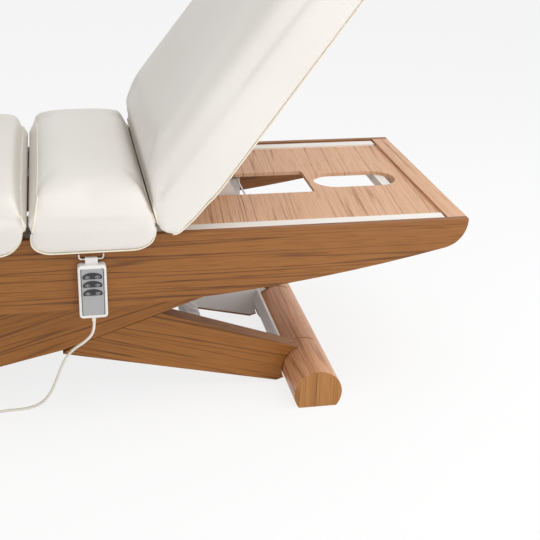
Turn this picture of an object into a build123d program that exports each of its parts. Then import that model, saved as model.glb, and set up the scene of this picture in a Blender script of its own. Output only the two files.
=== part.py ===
"""Spa treatment table: a scissor-lift base under an oak platform with a raised backrest.

Millimetres, +X to the head end, +Y away from the hand control, +Z up from the floor.
The model is drawn at its lowest height, with the backrest raised as it is used.
"""

import os
from math import atan2, cos, degrees, hypot, radians, sin, tan

from build123d import *

os.makedirs("parts", exist_ok=True)

# Platform
table_half_length = 1055
table_half_width = 360
panel_thickness = 18
panel_top = 510
panel_arc_mid_height = 321
panel_arc_end_height = 447
nose_radius = 73
end_board_thickness = 49
end_board_gap = 0.3
rail_width = 41.7
rail_top = 507
rail_height = 45
rail_end_gap = 5
rail_edge = 6
deck_top = 502
deck_thickness = 10
deck_side_gap = 0.3
head_deck_start = 290
foot_deck_start = -70
deck_cutout_start = 325
deck_cutout_end = 720
deck_cutout_half_width = 87
cutout_corner = 8
stadium_center = 853
stadium_length = 236
stadium_half_width = 60
lever_slot_start = -330
lever_slot_end = -110
lever_slot_near = 30
lever_slot_far = 96

# Steel tubes under the deck
tube_size = 25
tube_wall = 2
long_tube_inset = 120
long_tube_inner = table_half_width - long_tube_inset
end_tube_inset = 115
end_tube_x = table_half_length - end_tube_inset
foot_tube_x = (-700, -400)
leg_hinge_tube_x = -60
back_hinge_tube_x = 290
rod_x = 533
rod_diameter = 5
rod_half_length = 95

# Scissor arms
pivot_height = 233
foot_x = 679
foot_axis_height = 40
upper_pin_x = 500
arm_half_depth = 92
arm_taper = 0.058
arm_end_x = 548
wood_inner = 177
layer_thickness = 23
layer_gap = 2
wood_outer = 226
arm_gap = 1.5
fold_turn = 26
fold_steps = 4
pivot_clear_radius = 97
cope_radius = 67.5
heel_inset = 43
heel_reach = foot_x - heel_inset
bevel_reach = 652
bevel_rise = 10
plate_thickness = 6
arm_a_plate_inner = 163
arm_b_plate_inner = 171
plate_inset = 8
plate_eye_radius = 26
center_axle_radius = 16
foot_axle_radius = 8
upper_pin_radius = 8
pin_gap = 0.05
running_gap = 0.3
cut_overrun = 2
foot_bar_thickness = 8
foot_bar_depth = 40
foot_bar_rise = 18
torque_tube_x = 70
torque_tube_height = 292
anchor_tube_x = 388
anchor_tube_height = 112
torque_tube_size = 40

# Feet
foot_radius = 64.5
foot_half_length = 372
foot_cut_reach = 28
foot_cut_top = 58
foot_slot_reach = 32

# Roller tracks and arm brackets
roller_radius = 18
roller_width = 15
track_web_inner = 139
track_wall = 3
track_depth = 21
track_play = 0.4
track_start = 384
track_end = 553
stub_tube_x = (407, 540)
bracket_inner = 162
bracket_thickness = 8
bracket_half_length = 40
bracket_drop = 24

# Lift, back and leg actuators
lift_anchor = (360, 160)
lift_end = (70, 402)
back_anchor = (-150, 345)
back_end = (360, 400)
back_y = -62
leg_anchor = (360, 350)
leg_end = (-98, 387)
leg_y = 62
housing_tube_size = 34
housing_bore_gap = 0.6
rod_radius = 9
motor_radius = 28
motor_length = 90
motor_offset = 46
gearbox_start = 39
gearbox_length = 44
gearbox_width = 48
eye_width = 26
eye_radius = 13
anchor_pin_radius = 5
end_pin_radius = 4
fork_gap = 1
fork_thickness = 6

# Hinges, boards and cushions
hinge_height = 526
back_hinge_x = 264
leg_hinge_x = -38
back_tilt = 53.6
board_bottom = 512
board_thickness = 18
seat_start = -30
seat_end = 256
seat_board_half_width = 358
back_board_start = 272
back_board_end = 1040
leg_board_start = -46
leg_board_end = -1040
board_half_width = 340
hinge_pin_radius = 5
hinge_eye_radius = 10
ear_inner = 265
ear_thickness = 7
ear_half_width = 13
hinge_arm_inner = 272.5
hinge_arm_width = 26
hinge_arm_thickness = 8
hinge_arm_length = 240
notch_margin = 3
cushion_gap = 0.3
cushion_top = 645
cushion_edge_top = 636
cushion_edge_y = 330
cushion_bulge = 388.5
cushion_bulge_height = 555
hem_outer = 382
hem_inner = 363
seat_hem_bottom = 480
back_hem_bottom = 461
cushion_end_radius = 45
hem_lean = 4

# Hand control
control_x = 104
control_width = 68
control_height = 138
control_bottom = 310
control_depth = 24
control_back = 362
hook_wire_radius = 2.25
hook_y = 366.2
hook_bar_height = 458
hook_top = 473
hook_half_width = 29
hanger_width = 30
hanger_sheet = 2.6
key_width = 54
key_height = 19
key_pitch = 22.5
key_top_center = 423
key_travel_gap = 1.6
key_rise = 2.2


def side(y):
    """A sketch plane across the table at y: X to the right, Z up, facing the near side."""
    return Plane.XZ.offset(-y)


def layer(sign, inner, thickness):
    """The plane from which an extrusion of this thickness covers inner to inner + thickness."""
    return side(-inner if sign < 0 else inner + thickness)


def write(part, label):
    part.label = label
    export_step(part, f"parts/{label}.step")


sides = (("near", -1), ("far", 1))
arm_angle = degrees(atan2(pivot_height - foot_axis_height, foot_x))
arm_lower_length = hypot(foot_x, pivot_height - foot_axis_height)
arm_upper_length = upper_pin_x / cos(radians(arm_angle))
upper_pin_height = pivot_height + arm_upper_length * sin(radians(arm_angle))
tube_top = deck_top - deck_thickness
tube_bottom = tube_top - tube_size
board_top = board_bottom + board_thickness
deck_half_width = table_half_width - panel_thickness - rail_width - deck_side_gap
end_board_start = table_half_length - end_board_thickness


# Platform: side panels, end boards, rails and decks
def panel_outline():
    """The side view of the platform: straight on top, bowed below, rounded at both ends."""
    with BuildLine() as border:
        Polyline(
            (-table_half_length, panel_arc_end_height),
            (-table_half_length, panel_top),
            (table_half_length, panel_top),
            (table_half_length, panel_arc_end_height),
        )
        ThreePointArc(
            (table_half_length, panel_arc_end_height),
            (0, panel_arc_mid_height),
            (-table_half_length, panel_arc_end_height),
        )
    outline = make_face(border.edges())
    fillet(outline.vertices().group_by(Axis.Y)[0], nose_radius)


panel_inner = table_half_width - panel_thickness
peg_hole_radius = hook_wire_radius + pin_gap
for name, sign in sides:
    with BuildPart() as panel:
        with BuildSketch(layer(sign, panel_inner, panel_thickness)):
            panel_outline()
        extrude(amount=panel_thickness)
        if sign < 0:
            with BuildSketch(side(-panel_inner)):
                with Locations(
                    (control_x - hook_half_width, hook_top), (control_x + hook_half_width, hook_top)
                ):
                    Circle(peg_hole_radius)
            extrude(amount=panel_thickness, mode=Mode.SUBTRACT)
    write(panel.part, f"{name}_side_panel")

end_board_half_width = panel_inner - end_board_gap
with BuildPart() as end_boards:
    with BuildSketch(side(end_board_half_width)):
        panel_outline()
        with Locations((0, panel_top / 2)):
            Rectangle(2 * end_board_start, panel_top, mode=Mode.SUBTRACT)
    extrude(amount=2 * end_board_half_width)
write(end_boards.part, "end_boards")

rail_half_length = end_board_start - rail_end_gap
rail_center = panel_inner - end_board_gap - rail_width / 2
with BuildPart() as side_rails:
    with BuildSketch(Plane.YZ.offset(-rail_half_length)):
        with Locations(*[(sign * rail_center, rail_top - rail_height / 2) for sign in (-1, 1)]):
            Rectangle(rail_width, rail_height)
    extrude(amount=2 * rail_half_length)
    top_edges = side_rails.edges().filter_by(Axis.X).group_by(Axis.Z)[-1].sort_by(Axis.Y)
    chamfer([top_edges[0], top_edges[-1]], rail_edge)
write(side_rails.part, "side_rails")

deck_end = end_board_start - end_board_gap
with BuildPart() as head_deck:
    with BuildSketch(Plane.XY.offset(tube_top)):
        with Locations(((head_deck_start + deck_end) / 2, 0)):
            Rectangle(deck_end - head_deck_start, 2 * deck_half_width)
        with Locations(((deck_cutout_start + deck_cutout_end) / 2, 0)):
            RectangleRounded(
                deck_cutout_end - deck_cutout_start,
                2 * deck_cutout_half_width,
                cutout_corner,
                mode=Mode.SUBTRACT,
            )
        with Locations((stadium_center, 0)):
            SlotOverall(stadium_length, 2 * stadium_half_width, mode=Mode.SUBTRACT)
    extrude(amount=deck_thickness)
write(head_deck.part, "head_deck")

with BuildPart() as foot_deck:
    with BuildSketch(Plane.XY.offset(tube_top)):
        with Locations(((foot_deck_start - deck_end) / 2, 0)):
            Rectangle(deck_end + foot_deck_start, 2 * deck_half_width)
        with Locations(
            ((lever_slot_start + lever_slot_end) / 2, (lever_slot_near + lever_slot_far) / 2)
        ):
            RectangleRounded(
                lever_slot_end - lever_slot_start,
                lever_slot_far - lever_slot_near,
                cutout_corner,
                mode=Mode.SUBTRACT,
            )
    extrude(amount=deck_thickness)
write(foot_deck.part, "foot_deck")


# Welded tube frame under the decks
def tube_section(center_x, center_y):
    with Locations((center_x, center_y)):
        Rectangle(tube_size, tube_size)
        Rectangle(tube_size - 2 * tube_wall, tube_size - 2 * tube_wall, mode=Mode.SUBTRACT)


tube_center = tube_top - tube_size / 2
long_tube_half_length = end_tube_x - tube_size / 2
with BuildPart() as long_tubes:
    with BuildSketch(Plane.YZ.offset(-long_tube_half_length)):
        for name, sign in sides:
            tube_section(sign * (long_tube_inner + tube_size / 2), tube_center)
    extrude(amount=2 * long_tube_half_length)
write(long_tubes.part, "long_tubes")

with BuildPart() as cross_tubes:
    with BuildSketch(side(deck_half_width)):
        for sign in (-1, 1):
            tube_section(sign * end_tube_x, tube_center)
    extrude(amount=2 * deck_half_width)
    with BuildSketch(side(long_tube_inner)):
        for x in foot_tube_x + (leg_hinge_tube_x, back_hinge_tube_x):
            tube_section(x, tube_center)
    extrude(amount=2 * long_tube_inner)
write(cross_tubes.part, "cross_tubes")

with BuildPart() as cross_rod:
    with BuildSketch(side(rod_half_length)):
        with Locations((rod_x, tube_top - rod_diameter / 2)):
            Circle(rod_diameter / 2)
    extrude(amount=2 * rod_half_length)
write(cross_rod.part, "cross_rod")

# Roller tracks for arm A and pivot brackets for arm B, hung from stub tubes
track_half_height = roller_radius + track_play
track_web_outer = track_web_inner + track_wall
with BuildPart() as roller_tracks:
    for name, sign in sides:
        with BuildSketch(layer(sign, track_web_inner, track_wall)):
            with Locations(((track_start + track_end) / 2, upper_pin_height - track_half_height - track_wall)):
                Rectangle(
                    track_end - track_start,
                    tube_bottom - upper_pin_height + track_half_height + track_wall,
                    align=(Align.CENTER, Align.MIN),
                )
        extrude(amount=track_wall)
        with BuildSketch(layer(sign, track_web_inner, track_depth)):
            for flange in (-1, 1):
                flange_height = upper_pin_height + flange * (track_half_height + track_wall / 2)
                with Locations(((track_start + track_end) / 2, flange_height)):
                    Rectangle(track_end - track_start, track_wall)
        extrude(amount=track_depth)
write(roller_tracks.part, "roller_tracks")

with BuildPart() as stub_tubes:
    for name, sign in sides:
        with BuildSketch(layer(sign, track_web_inner, long_tube_inner - track_web_inner)):
            for x in stub_tube_x + (-upper_pin_x,):
                tube_section(x, tube_center)
        extrude(amount=long_tube_inner - track_web_inner)
write(stub_tubes.part, "stub_tubes")

with BuildPart() as arm_brackets:
    for name, sign in sides:
        with BuildSketch(layer(sign, bracket_inner, bracket_thickness)):
            with BuildLine():
                Polyline(
                    (-upper_pin_x - bracket_drop, upper_pin_height - bracket_drop),
                    (-upper_pin_x + bracket_drop, upper_pin_height - bracket_drop),
                    (-upper_pin_x + bracket_half_length, tube_bottom),
                    (-upper_pin_x - bracket_half_length, tube_bottom),
                    close=True,
                )
            make_face()
            with Locations((-upper_pin_x, upper_pin_height)):
                Circle(upper_pin_radius + pin_gap, mode=Mode.SUBTRACT)
        extrude(amount=bracket_thickness)
write(arm_brackets.part, "arm_brackets")


# Scissor arms: every outline is drawn in the arm's own plane, with its origin at the centre pivot
def arm_plane(which, y):
    """Arm A rises to the head end and arm B to the foot end: x runs up along the arm."""
    angle = radians(arm_angle if which == "a" else 180 - arm_angle)
    return Plane(origin=(0, y, pivot_height), x_dir=(cos(angle), 0, sin(angle)), z_dir=(0, -1, 0))


def arm_layer(which, sign, inner, thickness):
    return arm_plane(which, -inner if sign < 0 else inner + thickness)


def flip(which):
    """Arm B is arm A mirrored, so its own plane has the top of the arm at negative y."""
    return 1 if which == "a" else -1


def depth_at(reach):
    return arm_half_depth - arm_taper * abs(reach)


upper_reach_share = 1 / cos(radians(arm_angle))
top_reach = (arm_end_x + depth_at(upper_pin_x) * sin(radians(arm_angle))) * upper_reach_share
bottom_reach = (arm_end_x - depth_at(upper_pin_x) * sin(radians(arm_angle))) * upper_reach_share
inside_foot = arm_lower_length - foot_radius / 3


def arm_points(grow=0):
    """Corners of the tapered board, from the foot's top side round by the upper end."""
    return [
        (-inside_foot, depth_at(inside_foot) + grow),
        (0, arm_half_depth + grow),
        (top_reach + grow, depth_at(top_reach) + grow),
        (bottom_reach + grow, -depth_at(bottom_reach) - grow),
        (0, -arm_half_depth - grow),
        (-heel_reach, -depth_at(heel_reach) - grow),
        (-bevel_reach, bevel_rise - depth_at(bevel_reach) - grow),
        (-inside_foot, bevel_rise - depth_at(bevel_reach) - grow),
    ]


def turned(points, angle):
    turn = radians(angle)
    return [(x * cos(turn) - y * sin(turn), x * sin(turn) + y * cos(turn)) for x, y in points]


def arm_face(which, grow=0):
    with BuildLine() as border:
        Polyline(*[(x, flip(which) * y) for x, y in arm_points(grow)], close=True)
    make_face(border.edges())
    with Locations((-arm_lower_length, 0)):
        Circle(cope_radius, mode=Mode.SUBTRACT)


def cut_other_arm(which):
    """Takes away all that the other arm covers as the scissor opens, with a gap."""
    other = "b" if which == "a" else "a"
    between = 180 - 2 * arm_angle
    for step in range(fold_steps + 1):
        turn = flip(which) * (between - fold_turn * step / fold_steps)
        outline = [(x, flip(other) * y) for x, y in arm_points(arm_gap)]
        with BuildLine() as border:
            Polyline(*turned(outline, turn), close=True)
        make_face(border.edges(), mode=Mode.SUBTRACT)
    Circle(pivot_clear_radius, mode=Mode.SUBTRACT)


inner_layer_start = {"a": wood_inner - layer_thickness / 3, "b": wood_inner}
outer_layer_start = wood_outer - layer_thickness
for which in ("a", "b"):
    for name, sign in sides:
        with BuildPart() as cladding:
            with BuildSketch(arm_layer(which, sign, outer_layer_start, layer_thickness)):
                arm_face(which)
                if which == "b":
                    cut_other_arm(which)
            extrude(amount=layer_thickness)
            inner_start = inner_layer_start[which]
            if which == "a":
                inner_thickness = outer_layer_start - inner_start
                with BuildSketch(arm_layer(which, sign, inner_start, inner_thickness)):
                    arm_face(which)
                    cut_other_arm(which)
                extrude(amount=inner_thickness)
                bore_depth = layer_thickness / 2
                with BuildSketch(arm_layer(which, sign, outer_layer_start - cut_overrun, bore_depth)):
                    Circle(center_axle_radius + pin_gap)
                extrude(amount=bore_depth, mode=Mode.SUBTRACT)
            else:
                inner_thickness = layer_thickness + layer_gap / 2
                with BuildSketch(arm_layer(which, sign, inner_start, inner_thickness)):
                    arm_face(which)
                    Circle(center_axle_radius + running_gap, mode=Mode.SUBTRACT)
                extrude(amount=inner_thickness)
                end_thickness = outer_layer_start - inner_start
                with BuildSketch(arm_layer(which, sign, inner_start, end_thickness)):
                    arm_face(which)
                    cut_other_arm(which)
                extrude(amount=end_thickness)
            pin_depth = layer_thickness / 2
            with BuildSketch(arm_layer(which, sign, inner_start, pin_depth)):
                with Locations((arm_upper_length, 0)):
                    Circle(upper_pin_radius + pin_gap)
            extrude(amount=pin_depth, mode=Mode.SUBTRACT)
        write(cladding.part, f"arm_{which}_{name}_cladding")


def arm_plate_face(which):
    """Nearly as deep as the wood, with a tongue into the foot's slot and three bores."""
    arm_face(which, -plate_inset)
    tongue_length = cope_radius + 2 * plate_eye_radius
    with Locations((-arm_lower_length, 0)):
        Rectangle(tongue_length, 2 * plate_eye_radius, align=(Align.MIN, Align.CENTER))
        Circle(plate_eye_radius)
        Circle(foot_axle_radius + pin_gap, mode=Mode.SUBTRACT)
    with Locations((arm_upper_length, 0)):
        Circle(upper_pin_radius + pin_gap, mode=Mode.SUBTRACT)
    Circle(center_axle_radius + pin_gap, mode=Mode.SUBTRACT)


def along_arm(x, z):
    """A place given by its X and Z, as reach and height in arm A's own plane."""
    turn = radians(arm_angle)
    rise = z - pivot_height
    return x * cos(turn) + rise * sin(turn), rise * cos(turn) - x * sin(turn)


plate_inner = {"a": arm_a_plate_inner, "b": arm_b_plate_inner}
torque_reach, torque_rise = along_arm(torque_tube_x, torque_tube_height)
lift_reach, lift_rise = along_arm(*lift_end)
anchor_reach, anchor_rise = along_arm(-lift_anchor[0], lift_anchor[1])
tube_reach, tube_rise = along_arm(-anchor_tube_x, anchor_tube_height)
bar_reach = cope_radius + foot_bar_thickness / 2 - arm_lower_length
fork_inner = eye_width / 2 + fork_gap
for which in ("a", "b"):
    with BuildPart() as frame:
        for name, sign in sides:
            with BuildSketch(arm_layer(which, sign, plate_inner[which], plate_thickness)):
                arm_plate_face(which)
            extrude(amount=plate_thickness)
        with BuildSketch(arm_plane(which, plate_inner[which])):
            with Locations((bar_reach, flip(which) * foot_bar_rise)):
                Rectangle(foot_bar_thickness, foot_bar_depth)
        extrude(amount=2 * plate_inner[which])
    write(frame.part, f"arm_{which}_frame")


def arm_cross_tube(which, reach, rise):
    """Section of a square tube between an arm's two plates."""
    with Locations((reach, flip(which) * rise)):
        Rectangle(torque_tube_size, torque_tube_size)
        Rectangle(torque_tube_size - 2 * tube_wall, torque_tube_size - 2 * tube_wall, mode=Mode.SUBTRACT)


with BuildPart() as lift_anchor_bracket:
    with BuildSketch(arm_plane("b", arm_b_plate_inner)):
        arm_cross_tube("b", tube_reach, tube_rise)
    extrude(amount=2 * arm_b_plate_inner)
    for name, sign in sides:
        with BuildSketch(arm_layer("b", sign, fork_inner, fork_thickness)):
            with BuildLine():
                Polyline(
                    (tube_reach - torque_tube_size / 2, -(tube_rise + torque_tube_size / 2)),
                    (tube_reach + torque_tube_size / 2, -(tube_rise + torque_tube_size / 2)),
                    (anchor_reach + eye_radius, -anchor_rise),
                    (anchor_reach - eye_radius, -anchor_rise),
                    close=True,
                )
            make_face()
            with Locations((anchor_reach, -anchor_rise)):
                Circle(eye_radius)
                Circle(anchor_pin_radius + pin_gap, mode=Mode.SUBTRACT)
        extrude(amount=fork_thickness)
write(lift_anchor_bracket.part, "lift_anchor_bracket")

slot_lift_low, slot_lift_high = 3.6, 0.6
lift_slot_turn = 75
with BuildPart() as lift_lever:
    with BuildSketch(arm_plane("a", arm_a_plate_inner)):
        arm_cross_tube("a", torque_reach, torque_rise)
    extrude(amount=2 * arm_a_plate_inner)
    for name, sign in sides:
        with BuildSketch(arm_layer("a", sign, fork_inner, fork_thickness)):
            with BuildLine():
                Polyline(
                    (torque_reach - torque_tube_size / 2, torque_rise + torque_tube_size / 2),
                    (torque_reach + torque_tube_size / 2, torque_rise + torque_tube_size / 2),
                    (lift_reach + eye_radius, lift_rise),
                    (lift_reach - eye_radius, lift_rise),
                    close=True,
                )
            make_face()
            with Locations((lift_reach, lift_rise)):
                Circle(eye_radius)
            slot_center = (slot_lift_high - slot_lift_low) / 2
            slot_turn = lift_slot_turn - arm_angle
            with Locations(
                (
                    lift_reach + slot_center * cos(radians(slot_turn)),
                    lift_rise + slot_center * sin(radians(slot_turn)),
                )
            ):
                SlotOverall(
                    slot_lift_low + slot_lift_high + 2 * end_pin_radius,
                    2 * (end_pin_radius + 2 * running_gap),
                    rotation=slot_turn,
                    mode=Mode.SUBTRACT,
                )
        extrude(amount=fork_thickness)
write(lift_lever.part, "lift_lever")

center_axle_half_length = outer_layer_start + layer_thickness / 2 - cut_overrun - running_gap
with BuildPart() as center_axle:
    with BuildSketch(arm_plane("a", center_axle_half_length)):
        Circle(center_axle_radius)
    extrude(amount=2 * center_axle_half_length)
write(center_axle.part, "center_axle")

with BuildPart() as arm_b_upper_pins:
    for name, sign in sides:
        pin_start = bracket_inner - bracket_thickness / 2
        pin_length = wood_inner + layer_thickness / 2 - running_gap - pin_start
        with BuildSketch(layer(sign, pin_start, pin_length)):
            with Locations((-upper_pin_x, upper_pin_height)):
                Circle(upper_pin_radius)
        extrude(amount=pin_length)
write(arm_b_upper_pins.part, "arm_b_upper_pins")

roller_inner = track_web_outer + 2 * running_gap
with BuildPart() as arm_a_rollers:
    for name, sign in sides:
        with BuildSketch(layer(sign, roller_inner, roller_width)):
            with Locations((upper_pin_x, upper_pin_height)):
                Circle(roller_radius)
                Circle(upper_pin_radius + pin_gap, mode=Mode.SUBTRACT)
        extrude(amount=roller_width)
write(arm_a_rollers.part, "arm_a_rollers")

with BuildPart() as arm_a_upper_pins:
    for name, sign in sides:
        pin_length = inner_layer_start["a"] + layer_thickness / 2 - running_gap - roller_inner
        with BuildSketch(layer(sign, roller_inner, pin_length)):
            with Locations((upper_pin_x, upper_pin_height)):
                Circle(upper_pin_radius)
        extrude(amount=pin_length)
write(arm_a_upper_pins.part, "arm_a_upper_pins")

# Feet: round wood, flat on the floor, cut back between the arms, slotted for the arm plates
axle_half_length = arm_b_plate_inner + plate_thickness + layer_thickness
for name, sign in (("left", -1), ("right", 1)):
    plate_start = plate_inner["a" if sign < 0 else "b"]
    slot_half_width = plate_thickness / 2 + 2 * running_gap
    slot_middle = plate_start + plate_thickness / 2
    with BuildPart() as foot:
        with BuildSketch(side(foot_half_length)):
            with Locations((sign * foot_x, foot_axis_height)):
                Circle(foot_radius)
            with Locations((sign * foot_x, -foot_radius)):
                Rectangle(2 * foot_radius, 2 * foot_radius, mode=Mode.SUBTRACT)
        extrude(amount=2 * foot_half_length)
        with BuildSketch(side(slot_middle + slot_half_width)):
            with Locations((sign * (foot_x - foot_cut_reach - foot_radius), foot_cut_top)):
                Rectangle(2 * foot_radius, 3 * foot_radius, align=(Align.CENTER, Align.MAX))
        extrude(amount=2 * (slot_middle + slot_half_width), mode=Mode.SUBTRACT)
        for _, slot_sign in sides:
            with BuildSketch(layer(slot_sign, slot_middle - slot_half_width, 2 * slot_half_width)):
                with Locations((sign * (foot_x + foot_slot_reach - foot_radius), foot_axis_height)):
                    Rectangle(2 * foot_radius, 3 * foot_radius)
            extrude(amount=2 * slot_half_width, mode=Mode.SUBTRACT)
        with BuildSketch(side(axle_half_length + running_gap)):
            with Locations((sign * foot_x, foot_axis_height)):
                Circle(foot_axle_radius + pin_gap)
        extrude(amount=2 * (axle_half_length + running_gap), mode=Mode.SUBTRACT)
    write(foot.part, f"{name}_foot")
    with BuildPart() as foot_axle:
        with BuildSketch(side(axle_half_length)):
            with Locations((sign * foot_x, foot_axis_height)):
                Circle(foot_axle_radius)
        extrude(amount=2 * axle_half_length)
    write(foot_axle.part, f"{name}_foot_axle")


# Actuators: a housing with its motor alongside, and a rod that slides in the housing's bore
def line_plane(start, end, y):
    """Z along the actuator, X along the table's Y, origin at the anchor pin."""
    return Plane(
        origin=(start[0], y, start[1]), x_dir=(0, 1, 0), z_dir=(end[0] - start[0], 0, end[1] - start[1])
    )


def actuator(label, start, end, y, stroke_in):
    """Writes the housing and the rod: the rod can draw in by stroke_in before it meets the gearbox."""
    along = line_plane(start, end, y)
    reach = hypot(end[0] - start[0], end[1] - start[1])
    housing_end = reach - stroke_in - 3 * eye_radius
    bore_start = gearbox_start + gearbox_length
    down = 1 if along.y_dir.Z < 0 else -1
    with BuildPart() as housing:
        with BuildSketch(along.offset(gearbox_start)):
            Rectangle(housing_tube_size, housing_tube_size)
        extrude(amount=housing_end - gearbox_start)
        with BuildSketch(along.offset(gearbox_start)):
            with Locations((0, down * motor_offset / 2)):
                Rectangle(gearbox_width, motor_offset + gearbox_width)
        extrude(amount=gearbox_length)
        with BuildSketch(along.offset(gearbox_start + gearbox_length)):
            with Locations((0, down * motor_offset)):
                Circle(motor_radius)
        extrude(amount=motor_length)
        with BuildSketch(side(y + eye_width / 2)):
            with Locations((start[0], start[1])):
                Circle(eye_radius)
        extrude(amount=eye_width)
        with BuildSketch(along):
            Rectangle(eye_width, 2 * eye_radius)
        extrude(amount=gearbox_start)
        with BuildSketch(along.offset(housing_end)):
            Circle(rod_radius + housing_bore_gap)
        extrude(amount=bore_start - housing_end, mode=Mode.SUBTRACT)
        with BuildSketch(side(y + eye_width)):
            with Locations((start[0], start[1])):
                Circle(anchor_pin_radius + pin_gap)
        extrude(amount=2 * eye_width, mode=Mode.SUBTRACT)
    write(housing.part, f"{label}_actuator_housing")

    rod_start = bore_start + eye_radius + stroke_in
    pin_half_length = fork_inner + fork_thickness + fork_gap
    with BuildPart() as rod:
        with BuildSketch(along.offset(rod_start)):
            Circle(rod_radius)
        extrude(amount=reach - rod_start)
        with BuildSketch(side(y + eye_width / 2)):
            with Locations((end[0], end[1])):
                Circle(eye_radius)
        extrude(amount=eye_width)
        with BuildSketch(side(y + pin_half_length)):
            with Locations((end[0], end[1])):
                Circle(end_pin_radius)
        extrude(amount=2 * pin_half_length)
    write(rod.part, f"{label}_actuator_rod")


back_stroke_in = 147
actuator("lift", lift_anchor, lift_end, 0, running_gap)
actuator("back", back_anchor, back_end, back_y, back_stroke_in)
actuator("leg", leg_anchor, leg_end, leg_y, running_gap)


anchor_pin_half_length = fork_inner + fork_thickness + fork_gap
with BuildPart() as lift_anchor_pin:
    with BuildSketch(side(anchor_pin_half_length)):
        with Locations(lift_anchor):
            Circle(anchor_pin_radius)
    extrude(amount=2 * anchor_pin_half_length)
write(lift_anchor_pin.part, "lift_anchor_pin")

platform_anchors = ((leg_hinge_tube_x, back_anchor, back_y), (back_hinge_tube_x, leg_anchor, leg_y))
with BuildPart() as anchor_pins:
    for tube_x, place, y in platform_anchors:
        with BuildSketch(side(y + anchor_pin_half_length)):
            with Locations(place):
                Circle(anchor_pin_radius)
        extrude(amount=2 * anchor_pin_half_length)
write(anchor_pins.part, "anchor_pins")


# Two plates from a cross tube's underside to each anchor pin
with BuildPart() as anchor_brackets:
    for tube_x, place, y in platform_anchors:
        lean = 1 if place[0] > tube_x else -1
        for sign in (-1, 1):
            start = y - fork_inner if sign < 0 else y + fork_inner + fork_thickness
            with BuildSketch(side(start)):
                with BuildLine():
                    Polyline(
                        (tube_x - tube_size / 2, tube_bottom),
                        (tube_x + tube_size / 2, tube_bottom),
                        (place[0] + (eye_radius if lean > 0 else tube_size / 2), place[1]),
                        (place[0] - (tube_size / 2 if lean > 0 else eye_radius), place[1]),
                        close=True,
                    )
                make_face()
                with Locations(place):
                    Circle(eye_radius)
                    Circle(anchor_pin_radius + pin_gap, mode=Mode.SUBTRACT)
            extrude(amount=fork_thickness)
write(anchor_brackets.part, "anchor_brackets")

# Control box under the foot deck
control_box_length = 210
control_box_half_width = 90
control_box_height = 66
control_box_corner = 10
with BuildPart() as control_box:
    with BuildSketch(Plane.XY.offset(tube_bottom - control_box_height)):
        with Locations((foot_tube_x[0] + tube_size / 2, 0)):
            Rectangle(
                control_box_length, 2 * control_box_half_width, align=(Align.CENTER, Align.CENTER)
            )
    extrude(amount=control_box_height)
    fillet(control_box.edges().filter_by(Axis.Z), control_box_corner)
write(control_box.part, "control_box")

# Hinges of the backrest and the leg rest
ear_top = hinge_height + hinge_eye_radius
with BuildPart() as hinge_ears:
    for name, sign in sides:
        with BuildSketch(layer(sign, ear_inner, ear_thickness)):
            for x in (back_hinge_x, leg_hinge_x):
                with Locations((x, tube_bottom)):
                    Rectangle(2 * ear_half_width, hinge_height - tube_bottom, align=(Align.CENTER, Align.MIN))
                with Locations((x, hinge_height)):
                    Circle(hinge_eye_radius)
                    Rectangle(
                        3 * ear_half_width, board_thickness, align=(Align.CENTER, Align.MIN), mode=Mode.SUBTRACT
                    )
                    Circle(hinge_eye_radius)
                    Circle(hinge_pin_radius, mode=Mode.SUBTRACT)
        extrude(amount=ear_thickness)
write(hinge_ears.part, "hinge_ears")

pin_end_margin = 2
hinge_pin_length = ear_thickness + hinge_arm_width + 2 * pin_end_margin
with BuildPart() as hinge_pins:
    for name, sign in sides:
        with BuildSketch(layer(sign, ear_inner, hinge_pin_length)):
            with Locations((back_hinge_x, hinge_height), (leg_hinge_x, hinge_height)):
                Circle(hinge_pin_radius)
        extrude(amount=hinge_pin_length)
write(hinge_pins.part, "hinge_pins")

arm_bar_top = board_bottom
arm_bar_bottom = board_bottom - hinge_arm_thickness


def hinge_arms(hinge_x, lean):
    """Flat bars under the board that rise to an eye round the hinge pin."""
    with BuildPart() as arms:
        for name, sign in sides:
            with BuildSketch(layer(sign, hinge_arm_inner, hinge_arm_width)):
                with BuildLine():
                    Polyline(
                        (hinge_x, hinge_height),
                        (hinge_x - lean * hinge_eye_radius, hinge_height),
                        (hinge_x, arm_bar_bottom),
                        (hinge_x + lean * hinge_arm_length, arm_bar_bottom),
                        (hinge_x + lean * hinge_arm_length, arm_bar_top),
                        (hinge_x + lean * hinge_eye_radius, arm_bar_top),
                        (hinge_x + lean * hinge_eye_radius, hinge_height),
                        close=True,
                    )
                make_face()
                with Locations((hinge_x, hinge_height)):
                    Circle(hinge_eye_radius)
                    Circle(hinge_pin_radius + pin_gap, mode=Mode.SUBTRACT)
            extrude(amount=hinge_arm_width)
    return arms.part


def raised(part):
    """The backrest's pieces are drawn lying flat and are turned up about the hinge."""
    return part.rotate(Axis((back_hinge_x, 0, hinge_height), (0, -1, 0)), back_tilt)


write(raised(hinge_arms(back_hinge_x, 1)), "back_hinge_arms")
write(hinge_arms(leg_hinge_x, -1), "leg_hinge_arms")

notch_inner = ear_inner - notch_margin
notch_outer = hinge_arm_inner + hinge_arm_width + notch_margin
notch_width = notch_outer - notch_inner
notch_reach = hinge_eye_radius + notch_margin


def board(start, end, half_width, hinge_places):
    """A plywood board, notched round the hinges at its ends."""
    with BuildPart() as plank:
        with BuildSketch(Plane.XY.offset(board_bottom)):
            with Locations(((start + end) / 2, 0)):
                Rectangle(abs(end - start), 2 * half_width)
            with Locations(
                *[
                    (x, sign * (notch_inner + notch_outer) / 2)
                    for x in hinge_places
                    for sign in (-1, 1)
                ]
            ):
                Rectangle(2 * notch_reach, notch_width, mode=Mode.SUBTRACT)
        extrude(amount=board_thickness)
    return plank.part


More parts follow.
